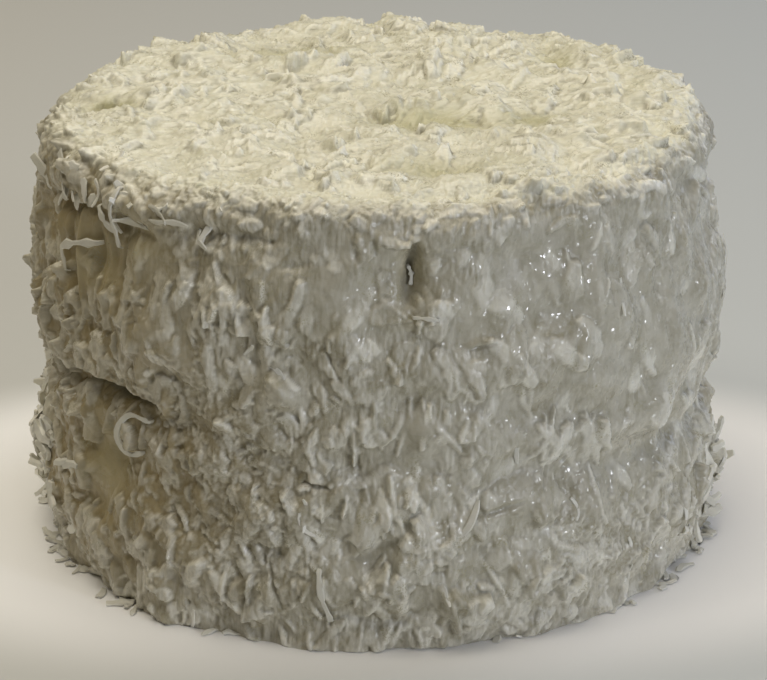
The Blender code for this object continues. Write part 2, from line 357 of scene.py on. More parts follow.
wallMarks = {
    "creases": (
        (-150.0, 0.0730, -134.5, 0.0700, 0.0019, -0.0034),
        (-137.0, 0.0704, -126.0, 0.0706, 0.0010, -0.0020),
        (-83.7, 0.1325, -84.9, 0.1225, 0.0020, -0.0020),
        (-84.7, 0.1255, -85.9, 0.1115, 0.0026, -0.0015),
        (-88.9, 0.1077, -84.5, 0.1082, 0.0005, -0.0007),
        (-98.0, 0.1010, -95.5, 0.0900, 0.0006, -0.0010),
        (-76.0, 0.0985, -71.5, 0.1005, 0.0005, -0.0010),
        (-52.6, 0.1230, -50.9, 0.1050, 0.0005, -0.0010),
        (-66.4, 0.0990, -68.8, 0.0830, 0.0005, -0.0008),
        (-102.0, 0.0558, -96.8, 0.0543, 0.0009, -0.0016),
        (-61.5, 0.0575, -62.5, 0.0480, 0.0006, -0.0010),
        (-107.5, 0.0300, -105.0, 0.0120, 0.0008, -0.0014),
    ),
    "recesses": (
        (-149.5, 0.1260, -149.0, 0.0980, 0.0018, -0.0026),
        (-142.5, 0.1260, -142.0, 0.0960, 0.0016, -0.0028),
        (-135.0, 0.1240, -134.5, 0.0990, 0.0018, -0.0024),
        (-160.0, 0.1260, -145.0, 0.1290, 0.0038, -0.0036),
        (-145.0, 0.1290, -127.0, 0.1262, 0.0040, -0.0036),
        (-127.0, 0.1300, -106.0, 0.1312, 0.0026, -0.0022),
        (-124.0, 0.0860, -116.0, 0.0600, 0.0050, -0.0016),
        (-104.5, 0.1240, -99.5, 0.1265, 0.0018, -0.0014),
        (-93.5, 0.1330, -92.8, 0.1260, 0.0011, -0.0014),
        (-90.6, 0.1340, -90.2, 0.1285, 0.0010, -0.0012),
        (-110.5, 0.1200, -108.5, 0.0880, 0.0020, -0.0014),
        (-119.5, 0.1260, -118.0, 0.1060, 0.0020, -0.0014),
        (-94.2, 0.0760, -93.0, 0.0580, 0.0016, -0.0014),
        (-129.5, 0.0300, -122.5, 0.0140, 0.0026, -0.0018),
        (-114.0, 0.0300, -111.0, 0.0100, 0.0026, -0.0016),
        (-75.0, 0.0440, -66.0, 0.0470, 0.0012, -0.0012),
        (-57.0, 0.1020, -60.5, 0.0780, 0.0014, -0.0012),
        (-40.0, 0.1200, -36.0, 0.0800, 0.0030, -0.0012),
        (-60.0, 0.0220, -48.0, 0.0160, 0.0030, -0.0012),
        (-96.0, 0.0120, -84.0, 0.0100, 0.0030, -0.0014),
    ),
    "ridges": (
        (-153.5, 0.1280, -152.0, 0.0980, 0.0020, 0.0020),
        (-146.0, 0.1300, -145.0, 0.0980, 0.0017, 0.0024),
        (-139.5, 0.1280, -138.0, 0.0960, 0.0020, 0.0022),
        (-131.0, 0.1280, -130.0, 0.1000, 0.0018, 0.0018),
        (-90.2, 0.1082, -79.0, 0.1078, 0.0017, 0.0012),
        (-109.2, 0.1280, -106.8, 0.0970, 0.0018, 0.0012),
        (-107.4, 0.1000, -102.6, 0.0800, 0.0019, 0.0013),
        (-127.6, 0.0920, -120.5, 0.0925, 0.0013, 0.0010),
        (-83.5, 0.0820, -82.4, 0.0540, 0.0038, 0.0014),
        (-92.8, 0.0470, -92.0, 0.0180, 0.0032, 0.0014),
        (-76.0, 0.0998, -71.5, 0.1018, 0.0013, 0.0010),
        (-66.0, 0.1260, -61.0, 0.1080, 0.0036, 0.0012),
        (-57.5, 0.1040, -56.0, 0.0860, 0.0034, 0.0012),
        (-149.0, 0.0755, -126.0, 0.0735, 0.0018, 0.0014),
        (-158.0, 0.1350, -144.0, 0.1368, 0.0030, 0.0012),
        (-141.0, 0.1362, -127.0, 0.1342, 0.0030, 0.0014),
        (-124.0, 0.1374, -108.0, 0.1362, 0.0028, 0.0012),
        (-138.5, 0.0470, -135.5, 0.0250, 0.0046, 0.0020),
    ),
}


def markShare(places, mark):
    # 1 along a mark, falling to 0 on both sides of it and towards its ends
    angle, height, otherAngle, otherHeight, halfWidth, _ = mark
    across = alongWall(angleOf(places), angle)
    up = places[:, 2] - height
    runAcross, runUp = alongWall(otherAngle, angle), otherHeight - height
    share = np.clip((across * runAcross + up * runUp) / (runAcross**2 + runUp**2), 0, 1)
    lens = np.sqrt(np.maximum(4 * share * (1 - share), 0.01))
    return lens * bell(np.hypot(across - share * runAcross, up - share * runUp), halfWidth * lens)


def marksOn(places, kind):
    # the rise of all marks of one kind, in metres
    return sum(mark[-1] * markShare(places, mark) for mark in wallMarks[kind])


def patchShare(kind, places):
    angle, height = angleOf(places), places[:, 2]
    return np.minimum(sum(
        strength * bell(alongWall(angle, patchAngle), halfWidth) * bell(height - middle, halfHeight)
        for patchAngle, middle, halfWidth, halfHeight, strength in coatPatches[kind]
    ), 1.0)


coatEdges = {  # in metres
    "topFrom": 0.004, "topFade": 0.008,  # long pieces of the top begin this far in from the rounded edge
    "wallFrom": 0.008, "wallFade": 0.010,  # and those of the wall this far below it
    # creases deeper than this are darkened with painted shade
    "creaseFrom": 0.0006, "creaseFade": 0.0010,  # creases of this depth are dark
    "fullHollow": 0.003,
}
coatMix = {  # shares of 1
    "slickWhereCalm": 0.6,
    "stillWhereSlick": 0.7,
    "leastLively": 0.15,
    "grittyOnTop": 0.6,
    "leastGritty": 0.25,
    "oliveShadeInHollows": 0.8,
    "leastCurled": 0.5,
    "leastCrumbs": 0.04,
}
keepsOff = {  # how much each kind of piece, and the draping itself, keeps off the patches
    "open": {"bare": 0.8, "cavity": 1.0, "slick": 0.5, "calm": 0.3, "hollow": 0.5},
    "upperShare": {"bare": 1.0, "slick": 0.75},
    "wallShare": {"bare": 1.0, "slick": 0.75, "matted": 0.6, "buttery": 0.4},
    "daubShare": {"bare": 1.0, "calm": 0.7},
    "flakeShare": {"bare": 1.0, "matted": 0.85, "slick": 0.4, "buttery": 0.3},
    "curledShare": {"bare": 1.0, "slick": 0.8, "calm": 0.8},
    "mattedShare": {"bare": 1.0},
    "crumbShare": {"bare": 1.0, "slick": 1.0},
}


def coatShares(plain, outward):
    # the share of each kind of coat at each place, kept on the mesh for the trees and the finishes
    flat = outward[:, 2] ** 2
    wall = 1 - flat
    shares = {kind: patchShare(kind, plain) * wall for kind in coatPatches}
    shares["slick"] = np.maximum(shares["slick"], coatMix["slickWhereCalm"] * shares["calm"])
    rounding = edgeRounding(angleOf(plain))
    inside = cakeForm["wallRadius"] - rounding - np.hypot(plain[:, 0], plain[:, 1])
    inside = np.clip((inside - coatEdges["topFrom"]) / coatEdges["topFade"], 0, 1)
    below = cakeForm["height"] - rounding - plain[:, 2]
    below = np.clip((below - coatEdges["wallFrom"]) / coatEdges["wallFade"], 0, 1)
    hollow = np.minimum(hollowShare(plain) * flat / coatEdges["fullHollow"], 1.0)
    cavity = (-marksOn(plain, "creases") - coatEdges["creaseFrom"]) / coatEdges["creaseFade"]
    lively = 1 - np.maximum(shares["bare"], coatMix["stillWhereSlick"] * shares["slick"])
    lively = np.maximum(lively, coatMix["leastLively"])
    gritty = np.maximum(shares["matted"], coatMix["grittyOnTop"] * flat)
    crumbs = coatMix["leastCrumbs"]
    shares |= {
        # painted shade: the creases' share darkens them
        "cavity": np.clip(cavity, 0, 1) * wall,
        "hollow": hollow,
        # olive and darker in the hollows of the top: partly painted shade
        "olive": coatMix["oliveShadeInHollows"] * hollow,
        "topness": flat,
        "marked": sum(marksOn(plain, kind) for kind in wallMarks) * wall,
        "lively": lively,
        "gritty": np.maximum(gritty, coatMix["leastGritty"]) * lively,
        "open": np.ones(len(plain)),
        "insideShare": inside,
        "rimShare": (1 - inside) * np.sqrt(flat),
        "upperShare": (1 - below) * wall,
        "wallShare": below,
        "daubShare": below,
        "flakeShare": below,
        "curledShare": below * (coatMix["leastCurled"] + shares["buttery"]),
        "mattedShare": wall * shares["matted"],
        "crumbShare": wall * (crumbs + (1 - crumbs) * shares["matted"]),
    }
    for kind, patches in keepsOff.items():
        for patch, much in patches.items():
            shares[kind] = shares[kind] * (1 - much * shares[patch])
    return shares


# Grids of points over the cake: rows that run up the wall, over the edge and in to the middle

def profilePoints(turns, upWall, overEdge, inwards):
    # upWall and overEdge are shares of the wall and of the rounded edge. inwards is in metres
    rounding = edgeRounding(np.degrees(turns))
    edgeTurn = math.pi / 2 * overEdge
    reach = cakeForm["wallRadius"] - rounding + rounding * np.cos(edgeTurn) - inwards
    reach = np.maximum(reach, 0.0002)
    height = (cakeForm["height"] - rounding) * upWall + rounding * np.sin(edgeTurn)
    return np.stack([reach * np.cos(turns), reach * np.sin(turns), height], -1)


def gridMesh(name, points, sinks=0.0, ring=False):
    # an open mesh from rows of points, moved out to the coat, with the shares of the coat on it
    rowCount, count = points.shape[:2]
    lifts = -np.broadcast_to(sinks, (rowCount, count)).ravel()
    places, plain, outward = onCoat(points.reshape(-1, 3), lifts)
    lines = np.arange(rowCount - 1)[:, None] * count
    columns = np.arange(count if ring else count - 1)[None, :]
    after = (columns + 1) % count
    faces = np.stack([lines + columns, lines + after, lines + count + after, lines + count + columns], -1)
    mesh = bpy.data.meshes.new(name)
    mesh.from_pydata(places.tolist(), [], faces.reshape(-1, 4).tolist())
    for label, values in coatShares(plain, outward).items():
        mesh.attributes.new(label, "FLOAT", "POINT").data.foreach_set("value", values)
    directions = mesh.attributes.new("outward", "FLOAT_VECTOR", "POINT")
    directions.data.foreach_set("vector", outward.ravel())
    return mesh


def closedMesh(mesh, rowCount, margin, low, high, onFoot):
    # cuts the margins off a grid and closes it to two points inside the cake, with a crisp edge between
    count = len(mesh.vertices) // rowCount
    kept = np.arange(len(mesh.vertices)).reshape(rowCount, count)
    kept = kept[margin["rows"]:rowCount - margin["rows"], margin["columns"]:count - margin["columns"]]
    rowCount, count = kept.shape
    places = np.empty(len(mesh.vertices) * 3)
    mesh.vertices.foreach_get("co", places)
    places = places.reshape(-1, 3)[kept.ravel()]
    if onFoot:
        places[:count, 2] = 0.0
    order = np.arange(rowCount * count).reshape(rowCount, count)
    faces = np.stack([order[:-1, :-1], order[:-1, 1:], order[1:, 1:], order[1:, :-1]], -1).reshape(-1, 4)
    lowPoint, highPoint = len(places), len(places) + 1
    around = [order[0], order[:, -1], order[::-1, 0]]
    closing = [(b, a, lowPoint) for line in around for a, b in zip(line, line[1:])]
    closing += [(b, a, highPoint) for a, b in zip(order[-1][::-1], order[-1][-2::-1])]
    closing += [(order[-1, 0], highPoint, lowPoint), (highPoint, order[-1, -1], lowPoint)]
    closed = bpy.data.meshes.new(mesh.name)
    closing = [[int(corner) for corner in face] for face in closing]
    closed.from_pydata(places.tolist() + [low, high], [], faces.tolist() + closing)
    closed.polygons.foreach_set("use_smooth", [True] * len(faces) + [False] * len(closing))
    edge = np.zeros(len(closed.vertices), bool)
    edge[np.concatenate([order[0], order[-1], order[:, 0], order[:, -1]])] = True
    ends = np.empty(len(closed.edges) * 2, int)
    closed.edges.foreach_get("vertices", ends)
    closed.edges.foreach_set("use_edge_sharp", edge[ends.reshape(-1, 2)].all(axis=1))
    for attribute in mesh.attributes:
        if attribute.data_type == "FLOAT" and attribute.domain == "POINT":
            values = np.empty(len(mesh.vertices))
            attribute.data.foreach_get("value", values)
            values = np.append(values[kept.ravel()], [0.0, 0.0])
            closed.attributes.new(attribute.name, "FLOAT", "POINT").data.foreach_set("value", values)
    for material in mesh.materials:
        closed.materials.append(material)
    return closed


coatGrid = {"columns": 600, "wallRows": 122, "edgeRows": 12, "cell": 0.0040}
wallGrids = {
    "icingLeft": {"from": -186, "to": -122, "columns": 278},
    "icingInFront": {"from": -122, "to": -58, "columns": 278},
    "icingRight": {"from": -58, "to": 6, "columns": 278},
    "icingBehindRight": {"from": 6, "to": 62, "columns": 190},
    "icingBehind": {"from": 62, "to": 118, "columns": 190},
    "icingBehindLeft": {"from": 118, "to": 174, "columns": 190},
}
skinGrid = {
    "cell": 0.00044,
    "wallRows": 300,
    "edgeRows": 44,
    "tuckedRows": 8,
    "tuckedDepth": 0.0012,
    "topColumns": 155,
    "closingHeight": 0.0700,
    "margin": 8,
}


def coatMesh():
    # the whole coat as one ring, which the pieces are scattered on
    turns = np.linspace(-math.pi, math.pi, coatGrid["columns"], endpoint=False)
    inner = cakeForm["wallRadius"] - cakeForm["edgeRounding"]
    wallRows, edgeRows = coatGrid["wallRows"], coatGrid["edgeRows"]
    rows = np.arange(wallRows + edgeRows + int(inner / coatGrid["cell"]))[:, None]
    return gridMesh("coat", profilePoints(
        turns, np.minimum(rows / wallRows, 1), np.clip((rows - wallRows) / edgeRows, 0, 1),
        np.maximum(rows - wallRows - edgeRows, 0) * coatGrid["cell"]), ring=True)


def wallSkin(name, values):
    # a sector of the wall's icing with its edge. Its last rows are tucked under the icing of the top
    margin, columns = skinGrid["margin"], values["columns"]
    step = (values["to"] - values["from"]) / columns
    turns = np.radians(values["from"] + step * np.arange(-margin, columns + 1 + margin))
    wallRows, edgeRows, tuckedRows = (skinGrid[part] for part in ("wallRows", "edgeRows", "tuckedRows"))
    rows = np.arange(wallRows + edgeRows + 1 + tuckedRows)[:, None]
    past = np.maximum(rows - wallRows - edgeRows, 0)
    points = profilePoints(
        turns, np.minimum(rows / wallRows, 1), np.clip((rows - wallRows) / edgeRows, 0, 1),
        past * skinGrid["cell"])
    mesh = icedMesh(gridMesh(name, points, past / tuckedRows * skinGrid["tuckedDepth"]))
    return closedMesh(mesh, len(rows), {"rows": 0, "columns": margin}, (0, 0, 0),
                      (0, 0, skinGrid["closingHeight"]), True)


def topSkin(name):
    # the icing of the top. A square grid is rounded to a disc, and its outermost cells are tucked under
    # the rounded edge
    margin, columns = skinGrid["margin"], skinGrid["topColumns"]
    steps = np.arange(-columns - margin, columns + 1 + margin) / columns
    across, along = np.meshgrid(steps, steps)
    share = np.maximum(abs(across), abs(along))
    eighth = math.pi / 4 / np.maximum(share, 1e-9)
    turns = np.where(
        abs(across) >= abs(along),
        np.where(across >= 0, 0, math.pi) + eighth * along * np.sign(across),
        np.sign(along) * (math.pi / 2 - eighth * across))
    tucked = skinGrid["tuckedRows"] * skinGrid["cell"]
    rounding = edgeRounding(np.degrees(turns))
    inner = cakeForm["wallRadius"] - rounding
    path = share * (inner + tucked)
    past = np.maximum(path - inner, 0)
    points = profilePoints(turns, 1.0, 1 - past / (math.pi / 2 * rounding), np.maximum(inner - path, 0))
    mesh = icedMesh(gridMesh(name, points, past / tucked * skinGrid["tuckedDepth"]))
    height = skinGrid["closingHeight"]
    return closedMesh(mesh, len(steps), {"rows": margin, "columns": margin}, (0, 0, height),
                      (0, 0, height + 0.001), False)


# The trees: one drapes the skin over what lies on it, one gives it fine relief, one scatters pieces

def drapeTree():
    tree, given = newTree("drapeOverPieces", {
        "Collection": ("Laid",), "Int": ("Soften", "Crevice Reach"),
        "Float": ("Clearance", "Open", "Full Rise", "Full Crevice"),
        "String": ("Mark", "Shade Mark", "Crevice Mark")})
    outward = addNode(tree, "GeometryNodeInputNamedAttribute", {
        "Name": "outward"}, data_type="FLOAT_VECTOR")
    laid = addNode(tree, "GeometryNodeCollectionInfo", {"Collection": given["Laid"]})
    above = addNode(tree, "ShaderNodeVectorMath", {
        0: outward, "Scale": given["Clearance"]}, operation="SCALE")
    start = addNode(tree, "ShaderNodeVectorMath", {
        0: addNode(tree, "GeometryNodeInputPosition"), 1: above}, operation="ADD")
    inward = addNode(tree, "ShaderNodeVectorMath", {0: outward, "Scale": -1.0}, operation="SCALE")
    look = addNode(tree, "GeometryNodeRaycast", {
        "Target Geometry": addNode(tree, "GeometryNodeRealizeInstances", {"Geometry": laid}),
        "Attribute": addNode(tree, "GeometryNodeInputNamedAttribute", {"Name": "shade"}),
        "Source Position": start, "Ray Direction": inward, "Ray Length": given["Clearance"]}).outputs
    seen = addNode(tree, "GeometryNodeSwitch", {
        "Switch": look["Is Hit"], "False": 0.5, "True": look["Attribute"]}, input_type="FLOAT")
    gap = addNode(tree, "GeometryNodeSwitch", {
        "Switch": look["Is Hit"], "False": given["Clearance"], "True": look["Hit Distance"]},
        input_type="FLOAT")
    hit = addNode(tree, "ShaderNodeMath", {0: given["Clearance"], 1: gap}, operation="SUBTRACT")
    rise = addNode(tree, "ShaderNodeMath", {0: hit, 1: given["Open"]}, operation="MULTIPLY")
    soft = addNode(tree, "GeometryNodeBlurAttribute", {"Value": rise, "Iterations": given["Soften"]})
    # how far each place lies below its blurred surroundings: the finish darkens these crevices as painted
    # shade
    around = addNode(tree, "GeometryNodeBlurAttribute", {
        "Value": soft, "Iterations": given["Crevice Reach"]})
    sunk = addNode(tree, "ShaderNodeMath", {0: around, 1: soft}, operation="SUBTRACT")
    marks = {
        "Crevice Mark": addNode(tree, "ShaderNodeMapRange", {
            "Value": sunk, "From Max": given["Full Crevice"]}),
        "Mark": addNode(tree, "ShaderNodeMapRange", {"Value": soft, "From Max": given["Full Rise"]}),
        "Shade Mark": seen,
    }
    geometry = given["Geometry"]
    for label, share in marks.items():
        geometry = addNode(tree, "GeometryNodeStoreNamedAttribute", {
            "Geometry": geometry, "Name": given[label], "Value": share})
    lift = addNode(tree, "ShaderNodeVectorMath", {0: outward, "Scale": soft}, operation="SCALE")
    moved = addNode(tree, "GeometryNodeSetPosition", {"Geometry": geometry, "Offset": lift})
    return endTree(tree, moved, given["Finish"])


def reliefTree():
    # three layers of folded noise: streaks that run up the wall, curds, and grit where the coat is matted
    tree, given = newTree("reliefOfIcing", {"Float": (
        "Streak Size", "Streak Height", "Streak Length", "Curd Size", "Curd Height", "Grit Size",
        "Grit Height", "Fold Middle", "Fold Gain", "Foot", "Marked", "Lively", "Gritty")})
    place = addNode(tree, "GeometryNodeInputPosition")
    split = addNode(tree, "ShaderNodeSeparateXYZ", {0: place}).outputs
    shrink = addNode(tree, "ShaderNodeMath", {
        0: given["Streak Size"], 1: given["Streak Length"]}, operation="DIVIDE")
    height = addNode(tree, "ShaderNodeMath", {0: split[2], 1: shrink}, operation="MULTIPLY")
    upright = addNode(tree, "ShaderNodeCombineXYZ", {0: split[0], 1: split[1], 2: height})
    total = given["Marked"]
    for layer, vector, swirl, share in (
            ("Streak", upright, 1.5, "Lively"), ("Curd", place, 1.0, "Lively"),
            ("Grit", place, 0.3, "Gritty")):
        scale = addNode(tree, "ShaderNodeMath", {0: 1.0, 1: given[layer + " Size"]}, operation="DIVIDE")
        cloud = addNode(tree, "ShaderNodeTexNoise", {
            "Vector": vector, "Scale": scale, "Detail": 1.0, "Distortion": swirl})
        folded = addNode(tree, "ShaderNodeMath", {0: cloud, 1: 0.5}, operation="SUBTRACT")
        folded = addNode(tree, "ShaderNodeMath", {0: folded}, operation="ABSOLUTE")
        folded = addNode(tree, "ShaderNodeMath", {
            0: folded, 1: given["Fold Middle"]}, operation="SUBTRACT")
        for factor in (given["Fold Gain"], given[layer + " Height"], given[share]):
            folded = addNode(tree, "ShaderNodeMath", {0: folded, 1: factor}, operation="MULTIPLY")
        total = addNode(tree, "ShaderNodeMath", {0: total, 1: folded}, operation="ADD")
    atFoot = addNode(tree, "ShaderNodeMapRange", {"Value": split[2], "From Max": given["Foot"]})
    total = addNode(tree, "ShaderNodeMath", {0: total, 1: atFoot}, operation="MULTIPLY")
    outward = addNode(tree, "GeometryNodeInputNamedAttribute", {
        "Name": "outward"}, data_type="FLOAT_VECTOR")
    offset = addNode(tree, "ShaderNodeVectorMath", {0: outward, "Scale": total}, operation="SCALE")
    moved = addNode(tree, "GeometryNodeSetPosition", {"Geometry": given["Geometry"], "Offset": offset})
    return endTree(tree, moved, given["Finish"])


def scatterTree():
    tree, given = newTree("scatterOfPieces", {
        "Int": ("Seed",), "Collection": ("Shapes",), "Vector": ("Least Size", "Most Size"),
        "Float": ("Share", "Density", "Heading", "Turn", "Tilt", "Roll", "Least Lift", "Most Lift",
                  "Floor")})
    density = addNode(tree, "ShaderNodeMath", {
        0: given["Density"], 1: given["Share"]}, operation="MULTIPLY")
    spread = addNode(tree, "GeometryNodeDistributePointsOnFaces", {
        "Mesh": given["Geometry"], "Density": density, "Seed": given["Seed"]}).outputs
    lift = addNode(tree, "FunctionNodeRandomValue", {
        "Min": given["Least Lift"], "Max": given["Most Lift"], "Seed": 1})
    offset = addNode(tree, "ShaderNodeVectorMath", {0: spread["Normal"], "Scale": lift}, operation="SCALE")
    raised = addNode(tree, "GeometryNodeSetPosition", {"Geometry": spread["Points"], "Offset": offset})
    # lengthwise up the wall. The slight lean gives the pieces of the top a heading too
    upright = addNode(tree, "FunctionNodeAxesToRotation", {
        0: spread["Normal"], 1: (0.03, 0.02, 1.0)}, primary_axis="Z", secondary_axis="X")
    turns = []
    for seed, label in enumerate(("Roll", "Tilt", "Turn"), 2):
        share = addNode(tree, "FunctionNodeRandomValue", {"Min": -1.0, "Max": 1.0, "Seed": seed})
        turns.append(addNode(tree, "ShaderNodeMath", {0: share, 1: given[label]}, operation="MULTIPLY"))
    turns[2] = addNode(tree, "ShaderNodeMath", {0: turns[2], 1: given["Heading"]}, operation="ADD")
    angles = addNode(tree, "ShaderNodeCombineXYZ", dict(enumerate(turns)))
    rotation = addNode(tree, "FunctionNodeRotateRotation", {
        0: upright, 1: addNode(tree, "FunctionNodeEulerToRotation", {0: angles})}, rotation_space="LOCAL")
    size = addNode(tree, "FunctionNodeRandomValue", {
        "Min": given["Least Size"], "Max": given["Most Size"], "Seed": 5}, data_type="FLOAT_VECTOR")
    shapes = addNode(tree, "GeometryNodeCollectionInfo", {
        "Collection": given["Shapes"], "Separate Children": True, "Reset Children": True})
    laid = addNode(tree, "GeometryNodeInstanceOnPoints", {
        "Points": raised, "Instance": shapes, "Pick Instance": True, "Rotation": rotation, "Scale": size})
    shade = addNode(tree, "FunctionNodeRandomValue", {"Min": 0.0, "Max": 1.0, "Seed": 6})
    marked = addNode(tree, "GeometryNodeStoreNamedAttribute", {
        "Geometry": laid, "Name": "shade", "Value": shade}, domain="INSTANCE")
    real = addNode(tree, "GeometryNodeRealizeInstances", {"Geometry": marked})
    split = addNode(tree, "ShaderNodeSeparateXYZ", {0: addNode(tree, "GeometryNodeInputPosition")}).outputs
    above = addNode(tree, "ShaderNodeMath", {0: split[2], 1: given["Floor"]}, operation="MAXIMUM")
    kept = addNode(tree, "ShaderNodeCombineXYZ", {0: split[0], 1: split[1], 2: above})
    floored = addNode(tree, "GeometryNodeSetPosition", {"Geometry": real, "Position": kept})
    return endTree(tree, floored, given["Finish"])


# The finishes

def newMaterial(name, base, roughness, ior):
    material = bpy.data.materials.new(name)
    material.use_nodes = True
    surface = material.node_tree.nodes["Principled BSDF"]
    surface.inputs["Base Color"].default_value = fromHex(base)
    surface.inputs["Roughness"].default_value = roughness
    surface.inputs["IOR"].default_value = ior
    return material, material.node_tree, surface


def spotted(tree, vector, size, low, high):
    # 0 to 1 in soft spots of a size, from the noise that counts as none to the noise that counts as full
    cloud = addNode(tree, "ShaderNodeTexNoise", {"Vector": vector, "Scale": 1 / size, "Detail": 2.0})
    return addNode(tree, "ShaderNodeMapRange", {"Value": cloud, "From Min": low, "From Max": high})


def weighed(tree, parts, weights):
    # the middle value 0.5, moved by each part's distance from its own middle times its weight
    total = 0.5 - 0.5 * sum(weights.values())
    for part, weight in weights.items():
        total = addNode(tree, "ShaderNodeMath", {
            0: parts[part], 1: weight, 2: total}, operation="MULTIPLY_ADD")
    return addNode(tree, "ShaderNodeClamp", {"Value": total})


buttercream = {
    "deep": "#9C967F",
    "pale": "#BAAF8C",
    "coconut": "#E6E4D8",
    # the buttery colour is partly painted shade, darker and browner between the sunken pieces, most of all
    # on the left
    "buttery": "#A3936B",
    # the top's colours are paler and creamier than the wall's: partly its denser coconut, partly painted
    # light
    "litTopDeep": "#DCDAC4",
    "top": "#F4F2E3",
    # olive is partly painted shade in the hollows of the top
    "olive": "#BFBB92",
    # speck colour and spots: painted shade in clusters of tiny holes
    "holeShade": "#B3AE94",
    # painted shade in the creases
    "cavity": "#96917F",
    # painted shade along the crevices beside the sunken pieces
    "creviceShade": "#7A745E",
    "patches": (0.0060, 0.35, 0.65),  # size in metres, least and most noise
    "clouds": (0.0160, 0.35, 0.65),
    "holeShadeSpots": (0.0006, 0.52, 0.60),
    "holeShadePatches": (0.0070, 0.56, 0.68),
    "fibres": (0.0011, 0.36, 0.64),
    "fibreStretch": (1, 1, 0.22),  # they run up the wall
    "gratings": (0.0010, 0.38, 0.62),
    "layers": (0.0010, 0.36, 0.64),
    "layerStretch": (0.2, 1, 1),  # and lie across the top
    "glaze": (0.0120, 0.52, 0.60),
    "layerRise": 2.6,
    "poreSize": 0.0009,
    "poreDepth": 0.00018,
    "poreStrength": 0.6,
    "slickTone": 0.62,
    "wallTone": {"grain": 0.25, "patches": 0.25, "foldShade": 0.30, "shredShade": 0.38, "sunken": 0.35},
    "topTone": {"layers": 0.35, "clouds": 0.30, "shredShade": 0.35, "sunken": 0.30},
    "litTopShare": {"topness": 1.6, "shredShade": 0.7, "patches": 0.5},
    "butteryAndShadedBlend": (0.95, 0.35),  # between the sunken pieces and over them
    "shredCrevice": 0.36,
    "foldCrevice": 0.16,
    "creviceShadeBy": {"clouds": (0.35, 1.0), "topness": (1.0, 1.7)},
    "roughness": (0.22, 0.50),
    "scatter": 0.0006,
    "scatterShare": 0.6,
    "scatterReach": (1.0, 0.95, 0.85),
    "wetCoat": (0.25, 0.90),
    "wetRoughness": 0.17,
    "beadSize": 0.0011,
    "beadTilt": 0.7,
}


